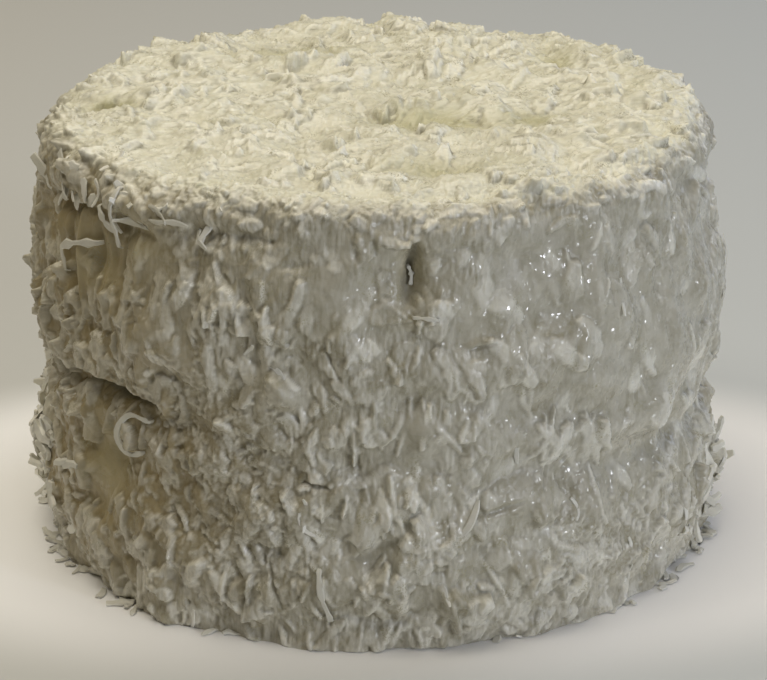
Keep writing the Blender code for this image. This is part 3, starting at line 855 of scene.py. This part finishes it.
def buttercreamMaterial():
    # Whipped butter and sugar, spread by knife: soft, off-white, a little greasy, light sinks into it.
    # It is paler over the sunken coconut. It is paler and creamier on top, partly from the denser coconut
    # there and partly as painted light, and olive and darker in the hollows there, partly as painted shade.
    # Painted shade darkens the creases, the crevices beside the sunken pieces and clusters of tiny holes,
    # and partly the buttery patches. Small wet facets in its syrup catch the light
    values = buttercream
    material, tree, surface = newMaterial("whippedButtercream", values["pale"], 0.4, 1.46)
    parts = {
        name: addNode(tree, "ShaderNodeAttribute", attribute_name=name).outputs["Fac"]
        for name in ("bare", "buttery", "cavity", "foldCrevice", "foldShade", "matted", "olive",
                     "shredCrevice", "shredShade", "slick", "sunken", "topness")
    }
    place = addNode(tree, "ShaderNodeTexCoord").outputs["Object"]
    upright = addNode(tree, "ShaderNodeMapping", {"Vector": place, "Scale": values["fibreStretch"]})
    layered = addNode(tree, "ShaderNodeMapping", {"Vector": place, "Scale": values["layerStretch"]})
    parts["patches"] = spotted(tree, place, *values["patches"])
    parts["clouds"] = spotted(tree, place, *values["clouds"])
    parts["layers"] = spotted(tree, layered, *values["layers"])
    grain = addNode(tree, "ShaderNodeMix", {
        0: parts["matted"], "A": spotted(tree, upright, *values["fibres"]),
        "B": spotted(tree, place, *values["gratings"])})
    parts["grain"] = addNode(tree, "ShaderNodeMix", {
        0: parts["slick"], "A": grain, "B": values["slickTone"]})

    # the top's colour, paler and creamier than the wall's: partly painted light
    top = addNode(tree, "ShaderNodeMix", {
        0: weighed(tree, parts, values["topTone"]), "A": fromHex(values["litTopDeep"]),
        "B": fromHex(values["top"])}, data_type="RGBA")
    # the buttery patches, browner between the sunken pieces: partly painted shade
    thin = addNode(tree, "ShaderNodeMix", {
        0: parts["sunken"], "A": values["butteryAndShadedBlend"][0], "B": values["butteryAndShadedBlend"][1]})
    butteryAndShadedShare = addNode(tree, "ShaderNodeMath", {0: parts["buttery"], 1: thin}, operation="MULTIPLY")
    # painted shade of tiny holes, in clusters
    holeShadeSpots = addNode(tree, "ShaderNodeMath", {
        0: spotted(tree, place, *values["holeShadeSpots"]),
        1: spotted(tree, place, *values["holeShadePatches"])}, operation="MULTIPLY")
    # painted shade along the crevices beside the laid pieces, stronger on top and in the clouds
    creviceShadeShare = addNode(tree, "ShaderNodeMath", {
        0: parts["foldCrevice"], 1: values["foldCrevice"]}, operation="MULTIPLY")
    creviceShadeShare = addNode(tree, "ShaderNodeMath", {
        0: parts["shredCrevice"], 1: values["shredCrevice"], 2: creviceShadeShare}, operation="MULTIPLY_ADD")
    for share in ("clouds", "topness"):
        least, most = values["creviceShadeBy"][share]
        factor = addNode(tree, "ShaderNodeMix", {0: parts[share], "A": least, "B": most})
        creviceShadeShare = addNode(tree, "ShaderNodeMath", {0: creviceShadeShare, 1: factor}, operation="MULTIPLY")

    # each share lays a colour over the last. The top's colour carries painted light in part, the buttery
    # and olive colours painted shade in part, and the speck, crevice and cavity colours are painted shade
    colour = fromHex(values["deep"])
    for share, over in (
        (weighed(tree, parts, values["wallTone"]), fromHex(values["coconut"])),
        (butteryAndShadedShare, fromHex(values["buttery"])),
        (parts["bare"], fromHex(values["pale"])),
        (weighed(tree, parts, values["litTopShare"]), top),
        (parts["olive"], fromHex(values["olive"])),
        (holeShadeSpots, fromHex(values["holeShade"])),
        (creviceShadeShare, fromHex(values["creviceShade"])),
        (parts["cavity"], fromHex(values["cavity"])),
    ):
        colour = addNode(tree, "ShaderNodeMix", {0: share, "A": colour, "B": over}, data_type="RGBA")

    # the wet facets: the coat's normal is tilted by a random colour for each small cell
    glazed = addNode(tree, "ShaderNodeMath", {
        0: spotted(tree, place, *values["glaze"]), 1: parts["topness"]}, operation="SUBTRACT")
    glazed = addNode(tree, "ShaderNodeMath", {0: parts["slick"], 1: glazed}, operation="MAXIMUM")
    beads = addNode(tree, "ShaderNodeTexVoronoi", {"Vector": place, "Scale": 1 / values["beadSize"]})
    tilt = addNode(tree, "ShaderNodeVectorMath", {
        0: beads.outputs["Color"], 1: (0.5, 0.5, 0.5)}, operation="SUBTRACT")
    facing = addNode(tree, "ShaderNodeVectorMath", {
        0: tilt, 1: (values["beadTilt"],) * 3, 2: addNode(tree, "ShaderNodeNewGeometry").outputs["Normal"]},
        operation="MULTIPLY_ADD")

    layers = addNode(tree, "ShaderNodeTexNoise", {
        "Vector": layered, "Scale": 1 / values["layers"][0], "Detail": 3.0})
    fine = addNode(tree, "ShaderNodeMix", {
        0: parts["topness"],
        "A": addNode(tree, "ShaderNodeTexNoise", {
            "Vector": place, "Scale": 1 / values["poreSize"], "Detail": 2.0}),
        "B": addNode(tree, "ShaderNodeMath", {0: layers, 1: values["layerRise"]}, operation="MULTIPLY")})
    setInputs(tree, surface, {
        "Base Color": colour,
        "Roughness": addNode(tree, "ShaderNodeMapRange", {
            "Value": parts["patches"], "To Min": values["roughness"][0],
            "To Max": values["roughness"][1]}),
        "Coat Weight": addNode(tree, "ShaderNodeMapRange", {
            "Value": glazed, "To Min": values["wetCoat"][0], "To Max": values["wetCoat"][1]}),
        "Coat Roughness": values["wetRoughness"],
        "Coat Normal": addNode(tree, "ShaderNodeVectorMath", {0: facing}, operation="NORMALIZE"),
        "Normal": addNode(tree, "ShaderNodeBump", {
            "Height": fine, "Strength": values["poreStrength"], "Distance": values["poreDepth"]}),
        "Subsurface Weight": values["scatterShare"],
        "Subsurface Radius": values["scatterReach"],
        "Subsurface Scale": values["scatter"],
    })
    return material


shreddedCoconut = {
    "colours": ("#D6D4C8", "#E4E2D6", "#DDDBCF", "#EDEBE0"),  # no two shreds alike
    "mottles": (0.0040, 0.3, 0.7),  # size in metres, least and most noise
    "mottleTone": (0.92, 1.03),
    "fibreWidth": 0.0008,
    "fibreDepth": 0.0002,
    "fibreStrength": 0.4,
    "scatter": 0.0012,
    "scatterShare": 0.3,
    "scatterReach": (1.0, 0.95, 0.85),
}


def coconutMaterial():
    # Moist shredded coconut in a sugar glaze: dense white flesh, waxy and slightly see-through
    values = shreddedCoconut
    material, tree, surface = newMaterial("glazedCoconut", values["colours"][0], 0.34, 1.45)
    ramp = addNode(tree, "ShaderNodeValToRGB", {
        "Fac": addNode(tree, "ShaderNodeAttribute", attribute_name="shade").outputs["Fac"]})
    stops, colours = ramp.color_ramp.elements, values["colours"]
    while len(stops) < len(colours):
        stops.new(len(stops) / len(colours))
    for i, colour in enumerate(colours):
        stops[i].position = i / (len(colours) - 1)
        stops[i].color = fromHex(colour)
    place = addNode(tree, "ShaderNodeTexCoord").outputs["Object"]
    size, least, most = values["mottles"]
    mottle = addNode(tree, "ShaderNodeTexNoise", {"Vector": place, "Scale": 1 / size, "Detail": 3.0})
    tone = addNode(tree, "ShaderNodeMapRange", {
        "Value": mottle, "From Min": least, "From Max": most,
        "To Min": values["mottleTone"][0], "To Max": values["mottleTone"][1]})
    fibres = addNode(tree, "ShaderNodeTexNoise", {
        "Vector": place, "Scale": 1 / values["fibreWidth"], "Detail": 1.0})
    setInputs(tree, surface, {
        "Base Color": addNode(tree, "ShaderNodeVectorMath", {0: ramp, "Scale": tone}, operation="SCALE"),
        "Normal": addNode(tree, "ShaderNodeBump", {
            "Height": fibres, "Strength": values["fibreStrength"], "Distance": values["fibreDepth"]}),
        "Subsurface Weight": values["scatterShare"],
        "Subsurface Radius": values["scatterReach"],
        "Subsurface Scale": values["scatter"],
    })
    return material


# Shreds: a curved flat ribbon with slanted sides that narrows to both ends

ribbonSection = ((-0.5, -0.5), (-0.34, 0.5), (0.34, 0.5), (0.5, -0.5))  # shares of the width and thickness


def shredShape(shape, stations, widths, thickness):
    # stations give a place, the direction along and the direction outwards
    rings = []
    for (place, along, outward), width in zip(stations, widths):
        side = along.cross(outward).normalized()
        rings.append([
            shape.verts.new(place + side * width * u + outward * thickness * v) for u, v in ribbonSection])
    for first, second in zip(rings, rings[1:]):
        for i in range(4):
            j = (i + 1) % 4
            shape.faces.new((first[i], first[j], second[j], second[i]))
        for i in range(4):
            shape.edges.get((first[i], second[i])).smooth = False
    shape.faces.new(rings[0][::-1])
    shape.faces.new(rings[-1])
    for ring in (rings[0], rings[-1]):
        for i in range(4):
            shape.edges.get((ring[i], ring[(i + 1) % 4])).smooth = False


def stationsAlong(places, outwards):
    # each place of a path with its direction along and its direction outwards, squared up
    last = len(places) - 1
    stations = []
    for i, (place, outward) in enumerate(zip(places, outwards)):
        along = (places[min(i + 1, last)] - places[max(i - 1, 0)]).normalized()
        stations.append((place, along, (outward - along * outward.dot(along)).normalized()))
    return stations


def raggedWidths(width, count, values, draw):
    return [
        width * draw.uniform(*values["ragged"])
        * (1 - values["taper"] * abs(2 * i / (count - 1) - 1) ** values["taperPower"])
        for i in range(count)
    ]


def ribbonStations(count, length, bend, arch, wave, twist, draw):
    # a ribbon along X: it bends sideways, arches up and down, waves and twists
    phase = draw.uniform(0, 2 * math.pi)
    places, outwards = [], []
    for i in range(count):
        share = i / (count - 1)
        middle = 4 * share * (1 - share)
        places.append(Vector((
            length * (share - 0.5),
            bend * (middle - 0.5) + wave * math.sin(phase + 4 * share),
            arch * (middle - 0.5) + wave * math.cos(phase + 5 * share),
        )))
        turn = twist * (share - 0.5)
        outwards.append(Vector((0, math.sin(turn), math.cos(turn))))
    return stationsAlong(places, outwards)


def meshOf(name, shape):
    mesh = bpy.data.meshes.new(name)
    bmesh.ops.recalc_face_normals(shape, faces=shape.faces)
    for face in shape.faces:
        face.smooth = True
    shape.to_mesh(mesh)
    shape.free()
    return mesh


everyKind = {  # what a kind of piece has where it doesn't say otherwise, in metres and degrees
    "shapes": 24, "stations": 7, "thickness": 0.0006, "bend": 0.14, "arch": 0.04, "wave": 0.05,
    "twist": 20, "taper": 0.5, "taperPower": 2.5, "ragged": (0.5, 1.2), "heading": 0, "tilt": 2,
    "floor": 0.0003, "lift": (-0.0003, 0.0003), "least": (0.8, 0.8, 0.9), "most": (1.2, 1.2, 1.2),
}


def shapesOf(name, values):
    # a few shapes of one kind, in a collection of their own, for a tree to pick from
    draw = random.Random(values["seed"])
    shelf = bpy.data.collections.new(name + "Shapes")
    for number in range(values["shapes"]):
        length = draw.uniform(*values["length"])
        width = draw.uniform(*values["width"])
        stations = ribbonStations(
            values["stations"], length, draw.uniform(-1, 1) * values["bend"] * length,
            draw.uniform(-1, 1) * values["arch"] * length, values["wave"] * length,
            math.radians(draw.uniform(-1, 1) * values["twist"]), draw)
        shape = bmesh.new()
        shredShape(shape, stations, raggedWidths(width, len(stations), values, draw), values["thickness"])
        mesh = meshOf(f"{name}Shape{number}", shape)
        shelf.objects.link(bpy.data.objects.new(mesh.name, mesh))
    return shelf


def emptyShelf(shelf):
    for thing in list(shelf.objects):
        bpy.data.objects.remove(thing)
    bpy.data.collections.remove(shelf)


def scatterPieces(name, values, ground, finish):
    # lays many pieces of one kind on the ground mesh, and returns them as one mesh
    values = {**everyKind, **values}
    shelf = shapesOf(name, values)
    mesh = runTree(name, ground, scatter, {
        "Share": values["share"], "Density": float(values["density"]), "Seed": values["seed"],
        "Shapes": shelf, "Least Lift": values["lift"][0], "Most Lift": values["lift"][1],
        "Least Size": values["least"], "Most Size": values["most"], "Floor": values["floor"],
        "Finish": finish,
        **{label: math.radians(values[label.lower()]) for label in ("Heading", "Turn", "Tilt", "Roll")},
    })
    emptyShelf(shelf)
    return mesh


def cornersCut(points):
    # a smoother path: each corner is cut twice, and both ends stay
    for _ in range(2):
        points = np.array([points[0]] + [
            point for first, second in zip(points, points[1:])
            for point in (first * 0.75 + second * 0.25, first * 0.25 + second * 0.75)
        ] + [points[-1]])
    return points


def singleShredsMesh(name, finish):
    values = singleShred
    draw = random.Random(values["seed"])
    shape = bmesh.new()
    for width, path in singleShreds:
        path = cornersCut(np.array(path))
        path[:, 2] += values["lift"]
        path[[0, -1], 2] -= values["sunkenEnds"]
        turns = np.radians(path[:, 0])
        around = np.column_stack([np.cos(turns), np.sin(turns)]) * cakeForm["wallRadius"]
        places, _, outwards = onCoat(np.column_stack([around, path[:, 1]]), path[:, 2])
        stations = stationsAlong([Vector(place) for place in places], [Vector(out) for out in outwards])
        shredShape(shape, stations, raggedWidths(width, len(path), values, draw), values["thickness"])
    mesh = meshOf(name, shape)
    shades = mesh.attributes.new("shade", "FLOAT", "POINT")
    shades.data.foreach_set("value", [values["shade"]] * len(mesh.vertices))
    mesh.materials.append(finish)
    return mesh


def footRingMesh(name):
    # the ground round the foot that shreds have slid down to, wider at both sides and in clumps
    turns = np.linspace(-math.pi, math.pi, footRing["columns"], endpoint=False)
    reach = footRing["reach"] + footRing["sideReach"] * np.cos(turns) ** 2
    rings = []
    for radius in (np.full(len(turns), footRing["inner"]), footRing["inner"] + reach):
        rings.append(np.column_stack(
            [radius * np.cos(turns), radius * np.sin(turns), np.zeros(len(turns))]))
    count = len(turns)
    faces = [(i, count + i, count + (i + 1) % count, (i + 1) % count) for i in range(count)]
    mesh = bpy.data.meshes.new(name)
    mesh.from_pydata(np.concatenate(rings).tolist(), [], faces)
    clumps = lumps(rings[1], ((1.0, footRing["clump"]),))
    clumps = footRing["spread"] + footRing["clumped"] * clumps + footRing["atSides"] * np.cos(turns) ** 2
    clumps = np.clip(clumps, 0, 1)
    shares = np.concatenate([clumps, clumps * footRing["outermost"]])
    mesh.attributes.new("footShare", "FLOAT", "POINT").data.foreach_set("value", shares)
    return mesh


# What lies sunk in the icing: folds of the knife first, then the pieces of coconut laid on the folded coat

folds = {
    "daubs": {
        "seed": 21, "shapes": 14, "length": (0.010, 0.026), "width": (0.004, 0.010), "thickness": 0.0017,
        "arch": 0.05, "taper": 0.75, "ragged": (0.75, 1.15), "share": "daubShare", "density": 9000,
        "turn": 40, "tilt": 4, "roll": 14, "lift": (-0.0012, 0.0002), "least": (0.7, 0.7, 0.8),
        "most": (1.2, 1.3, 1.2),
    },
    "topDaubs": {
        "seed": 29, "shapes": 14, "length": (0.008, 0.018), "width": (0.005, 0.010), "thickness": 0.0024,
        "bend": 0.12, "taper": 0.75, "ragged": (0.75, 1.15), "share": "insideShare", "density": 8000,
        "heading": -34, "turn": 40, "tilt": 4, "roll": 10, "lift": (-0.0014, 0.0002),
        "least": (0.7, 0.7, 0.8), "most": (1.2, 1.3, 1.2),
    },
}
sunken = {
    "hangingFlakes": {
        "seed": 16, "length": (0.008, 0.018), "width": (0.0034, 0.0074), "thickness": 0.0008,
        "bend": 0.18, "twist": 24, "taper": 0.4, "share": "hanging", "density": 14000, "heading": 90,
        "turn": 40, "tilt": 8, "roll": 14, "lift": (-0.0002, 0.0012),
    },
    "curledFlakes": {
        "seed": 30, "length": (0.005, 0.013), "width": (0.0030, 0.0066), "bend": 0.16, "arch": 0.06,
        "twist": 24, "share": "curledShare", "density": 8000, "turn": 70, "tilt": 8, "roll": 26,
        "lift": (0.0, 0.0010),
    },
    "sunkenCrumple": {
        "seed": 28, "stations": 5, "length": (0.0025, 0.0070), "width": (0.0012, 0.0030), "bend": 0.20,
        "arch": 0.06, "share": "mattedShare", "density": 130000, "turn": 180, "tilt": 10, "roll": 22,
        "lift": (-0.0004, 0.0005),
    },
    "sunkenUpperFlakes": {
        "seed": 27, "stations": 6, "length": (0.005, 0.011), "width": (0.0024, 0.0056), "arch": 0.02,
        "wave": 0.03, "twist": 14, "share": "upperShare", "density": 26000, "turn": 36, "roll": 10,
        "lift": (-0.0003, 0.0004),
    },
    "sunkenFlakes": {
        "seed": 23, "shapes": 28, "length": (0.008, 0.022), "width": (0.0036, 0.0088),
        "thickness": 0.0007, "arch": 0.02, "wave": 0.04, "twist": 14, "share": "flakeShare",
        "density": 13000, "turn": 46, "roll": 14,
    },
    "sunkenShreds": {
        "seed": 15, "shapes": 20, "stations": 6, "length": (0.008, 0.024), "width": (0.0012, 0.0028),
        "thickness": 0.0005, "bend": 0.16, "arch": 0.02, "twist": 12, "ragged": (0.75, 1.15),
        "share": "wallShare", "density": 11000, "turn": 36, "roll": 12,
    },
    "sunkenCrumbs": {
        "seed": 24, "shapes": 14, "stations": 3, "length": (0.0012, 0.0034), "width": (0.0006, 0.0013),
        "bend": 0.15, "arch": 0.08, "wave": 0.0, "ragged": (0.75, 1.15), "share": "crumbShare",
        "density": 200000, "turn": 180, "tilt": 12, "roll": 20, "lift": (-0.0004, 0.0003),
        "least": (0.8, 0.8, 0.8),
    },
    "sunkenTopFlakes": {
        "seed": 25, "length": (0.009, 0.022), "width": (0.0030, 0.0074), "thickness": 0.0010,
        "bend": 0.12, "arch": 0.03, "wave": 0.03, "twist": 15, "share": "insideShare", "density": 17000,
        "heading": -34, "turn": 30, "roll": 9, "lift": (-0.0006, 0.0003),
    },
    "sunkenTopShreds": {
        "seed": 17, "shapes": 20, "stations": 5, "length": (0.005, 0.014), "width": (0.0009, 0.0020),
        "wave": 0.03, "twist": 15, "taper": 0.6, "ragged": (0.75, 1.15), "share": "insideShare",
        "density": 20000, "heading": -34, "turn": 50, "tilt": 3, "roll": 8, "lift": (-0.0003, 0.0004),
    },
    "sunkenRimFlakes": {
        "seed": 26, "shapes": 20, "stations": 6, "length": (0.008, 0.018), "width": (0.0034, 0.0074),
        "thickness": 0.0005, "wave": 0.03, "taper": 0.6, "share": "rimShare", "density": 19000,
        "heading": 90, "turn": 30, "roll": 8, "lift": (-0.0005, 0.0002),
    },
}

# What lies free on it, one piece for each kind. The last is laid round the foot

eaveFlakes = {
    "seed": 32, "shapes": 20, "length": (0.006, 0.014), "width": (0.0022, 0.0050), "thickness": 0.0004,
    "bend": 0.20, "arch": 0.10, "wave": 0.06, "twist": 40, "taper": 0.3, "share": "eave",
    "density": 42000, "heading": 45, "turn": 90, "tilt": 24, "roll": 26, "lift": (-0.0006, 0.0006),
}
wallShreds = {
    "seed": 14, "stations": 8, "length": (0.005, 0.013), "width": (0.0012, 0.0026), "thickness": 0.0003,
    "arch": 0.05, "twist": 30, "taper": 0.35, "ragged": (0.7, 1.1), "share": "wallShare", "density": 600,
    "turn": 45, "tilt": 6, "roll": 18, "lift": (-0.0005, 0.0002),
}
fringeShreds = {
    "seed": 18, "shapes": 20, "length": (0.005, 0.012), "width": (0.0020, 0.0042), "thickness": 0.0011,
    "bend": 0.18, "arch": 0.10, "twist": 40, "taper": 0.4, "ragged": (0.6, 1.2), "share": "fringe",
    "density": 30000, "heading": 90, "turn": 90, "tilt": 32, "roll": 30, "lift": (0.0, 0.0016),
}
footShreds = {
    "seed": 19, "shapes": 14, "stations": 5, "length": (0.003, 0.009), "width": (0.0022, 0.0046),
    "bend": 0.16, "arch": 0.05, "wave": 0.04, "twist": 30, "taper": 0.35, "share": "footShare",
    "density": 110000, "turn": 180, "tilt": 8, "roll": 12, "lift": (0.0002, 0.0008),
}
footRing = {
    "inner": 0.1080, "reach": 0.0036, "sideReach": 0.0056, "columns": 180, "clump": 0.020,
    "spread": 0.25, "clumped": 1.6, "atSides": 0.35, "outermost": 0.3,
}

# Single shreds that stand out of the wall: width, then a path of angles, heights and lifts

singleShred = {
    "seed": 31, "thickness": 0.0004, "ragged": (0.5, 1.3), "taper": 0.5, "taperPower": 2.5,
    "lift": 0.0010, "sunkenEnds": 0.0016, "shade": 0.1,
}
singleShreds = (
    (0.0024, ((-134.3, 0.1400, 0.0010), (-134.7, 0.1310, 0.0024), (-135.2, 0.1200, 0.0012))),
    (0.0030, ((-141.5, 0.1185, 0.0006), (-147.0, 0.1170, 0.0022), (-151.5, 0.1120, 0.0028),
              (-150.6, 0.1050, 0.0016))),
    (0.0026, ((-140.0, 0.1320, 0.0004), (-138.6, 0.1280, 0.0020), (-136.6, 0.1245, 0.0008))),
    (0.0026, ((-130.0, 0.0650, 0.0002), (-134.6, 0.0670, 0.0024), (-136.6, 0.0590, 0.0030),
              (-134.2, 0.0525, 0.0024), (-131.4, 0.0545, 0.0006))),
    (0.0014, ((-84.6, 0.1100, 0.0010), (-82.6, 0.1102, 0.0014), (-80.6, 0.1092, 0.0008))),
    (0.0016, ((-84.9, 0.1235, -0.0012), (-84.3, 0.1210, -0.0008), (-84.6, 0.1180, -0.0014))),
    (0.0024, ((-98.9, 0.0290, 0.0002), (-98.4, 0.0200, 0.0014), (-97.2, 0.0100, 0.0006))),
)

icingRelief = {
    "Streak Size": 0.0032, "Streak Length": 0.0160, "Streak Height": 0.0005,
    "Curd Size": 0.0080, "Curd Height": 0.0005, "Grit Size": 0.0012, "Grit Height": 0.00025,
    "Fold Middle": 0.09, "Fold Gain": 6.0, "Foot": 0.002,
}
draping = {
    "folds": {"Clearance": 0.006, "Soften": 6, "Full Rise": 0.0020, "Full Crevice": 0.00070,
              "Crevice Reach": 12, "Mark": "folded", "Shade Mark": "foldShade",
              "Crevice Mark": "foldCrevice"},
    "shreds": {"Clearance": 0.006, "Soften": 1, "Full Rise": 0.0006, "Full Crevice": 0.00021,
               "Crevice Reach": 4, "Mark": "sunken", "Shade Mark": "shredShade",
               "Crevice Mark": "shredCrevice"},
}
icingFinish, coconutFinish = buttercreamMaterial(), coconutMaterial()
scatter, drape, relief = scatterTree(), drapeTree(), reliefTree()


def laidShelf(name, kinds, ground):
    # scatters these kinds on the ground and keeps them in a collection for the skins to fall on
    shelf = bpy.data.collections.new(name)
    for kind, values in kinds.items():
        shelf.objects.link(bpy.data.objects.new(kind, scatterPieces(kind, values, ground, icingFinish)))
    return shelf


def drapeOver(mesh, laid, manner):
    return runTree(mesh.name, mesh, drape, {
        "Laid": laid, "Open": "open", "Finish": icingFinish, **draping[manner]})


coat = coatMesh()
print("coat: surface laid out")
laidFolds = laidShelf("laidFolds", folds, coat)
coat = drapeOver(coat, laidFolds, "folds")
laidShreds = laidShelf("laidShreds", sunken, coat)
coat = drapeOver(coat, laidShreds, "shreds")
print("coat: folded over the daubs, with the shreds laid on it")


def icedMesh(mesh):
    # drapes an open grid over all that lies sunk in the icing, and gives it its fine relief
    for laid, manner in ((laidFolds, "folds"), (laidShreds, "shreds")):
        mesh = drapeOver(mesh, laid, manner)
    return runTree(mesh.name, mesh, relief, {
        **icingRelief, "Marked": "marked", "Lively": "lively", "Gritty": "gritty", "Finish": icingFinish})


for name, values in wallGrids.items():
    finishPiece(name, wallSkin(name, values))
finishPiece("icingOnTop", topSkin("icingOnTop"))
emptyShelf(laidFolds)
emptyShelf(laidShreds)

for name, values, ground in (
    ("eaveFlakes", eaveFlakes, coat),
    ("wallShreds", wallShreds, coat),
    ("fringeShreds", fringeShreds, coat),
    ("footShreds", footShreds, footRingMesh("footRing")),
):
    finishPiece(name, scatterPieces(name, values, ground, coconutFinish))
finishPiece("singleShreds", singleShredsMesh("singleShreds", coconutFinish))


# The stage: a pale floor that greys with distance, sooner in front of the cake as painted shade, a warm
# lamp overhead and cooler light from the right

stage = {
    "radius": 6.0,
    "sides": 96,
    "floorNear": "#FAFAFA",
    "floorFarLeft": "#C9C6BC",
    "floorFarRight": "#C5CDD4",
    "tintReach": 0.4,
    "paleReach": 0.165,
    "greyReach": 0.235,
    "frontShadeNarrowing": 1.60,
    "worldColour": "#FFDDB0",
    "worldStrength": 0.03,
}


def stageFloor():
    mesh = bpy.data.meshes.new("studioFloor")
    shape = bmesh.new()
    bmesh.ops.create_circle(shape, cap_ends=True, radius=stage["radius"], segments=stage["sides"])
    shape.to_mesh(mesh)
    shape.free()
    floor = placeObject("studioFloor", mesh)
    material, tree, surface = newMaterial("paintedBoard", stage["floorNear"], 0.6, 1.5)
    place = addNode(tree, "ShaderNodeTexCoord").outputs["Object"]
    # the grey comes nearer in front of and behind the cake than at its sides: painted shade in front of its
    # foot
    oval = addNode(tree, "ShaderNodeMapping", {"Vector": place, "Scale": (1, stage["frontShadeNarrowing"], 1)})
    reach = addNode(tree, "ShaderNodeVectorMath", {0: oval}, operation="LENGTH")
    far = addNode(tree, "ShaderNodeMapRange", {
        "Value": reach, "From Min": stage["paleReach"], "From Max": stage["greyReach"]},
        interpolation_type="SMOOTHSTEP")
    across = addNode(tree, "ShaderNodeMapRange", {
        "Value": addNode(tree, "ShaderNodeSeparateXYZ", {0: place}),
        "From Min": -stage["tintReach"], "From Max": stage["tintReach"]})
    tint = addNode(tree, "ShaderNodeMix", {
        0: across, "A": fromHex(stage["floorFarLeft"]), "B": fromHex(stage["floorFarRight"])},
        data_type="RGBA")
    setInputs(tree, surface, {"Base Color": addNode(tree, "ShaderNodeMix", {
        0: far, "A": fromHex(stage["floorNear"]), "B": tint}, data_type="RGBA")})
    mesh.materials.append(material)


lamps = {
    "ceilingLamp": {"place": (-0.30, 0.10, 2.03), "aim": (0, 0, 0.10), "size": (2.2, 1.8),
                    "power": 39.0, "colour": "#FFF7E6"},
    "windowRight": {"place": (1.90, -2.40, 1.20), "aim": (0, 0, 0.07), "size": (2.0, 1.8),
                    "power": 12.5, "colour": "#E2EAFC"},
    "windowBehind": {"place": (2.20, 1.60, 1.33), "aim": (0, 0, 0.05), "size": (2.0, 1.6),
                     "power": 18.0, "colour": "#DEE8FF"},
    "spotRight": {"place": (1.05, -1.00, 0.32), "aim": (0, 0, 0.07), "size": (0.12, 0.12),
                  "power": 4.4, "colour": "#F2F5FF"},
}


def areaLamp(name, values):
    light = bpy.data.lights.new(name, "AREA")
    light.shape = "RECTANGLE"
    light.size, light.size_y = values["size"]
    light.energy = values["power"]
    light.color = fromHex(values["colour"])[:3]
    lamp = bpy.data.objects.new(name, light)
    lamp.location = values["place"]
    towards = Vector(values["aim"]) - lamp.location
    lamp.rotation_euler = towards.to_track_quat("-Z", "Y").to_euler()
    bpy.context.scene.collection.objects.link(lamp)


def studioWorld():
    world = bpy.data.worlds.new("studioWorld")
    world.use_nodes = True
    light = world.node_tree.nodes["Background"]
    light.inputs["Color"].default_value = fromHex(stage["worldColour"])
    light.inputs["Strength"].default_value = stage["worldStrength"]
    bpy.context.scene.world = world


# The camera stands 0.80 m in front of the cake's axis and looks down on it

photoCamera = {
    "distance": 0.7986,
    "height": 0.3641,
    "lookDown": 20.8,
    "lookRight": 0.17,
    "lens": 117.3,
    "sensor": 36.0,
    "nearest": 0.05,
    "farthest": 20.0,
}


def cameraAsPhoto():
    view = bpy.data.cameras.new("photoCamera")
    view.sensor_width = photoCamera["sensor"]
    view.lens = photoCamera["lens"]
    view.clip_start, view.clip_end = photoCamera["nearest"], photoCamera["farthest"]
    camera = bpy.data.objects.new("photoCamera", view)
    camera.location = (0, -photoCamera["distance"], photoCamera["height"])
    down, right = math.radians(photoCamera["lookDown"]), math.radians(photoCamera["lookRight"])
    camera.rotation_euler = (math.pi / 2 - down, 0, -right)
    bpy.context.scene.collection.objects.link(camera)
    bpy.context.scene.camera = camera


stageFloor()
for name, values in lamps.items():
    areaLamp(name, values)
studioWorld()
cameraAsPhoto()
bpy.context.scene.view_settings.view_transform = "Standard"
print("stage: floor, lamps and camera")
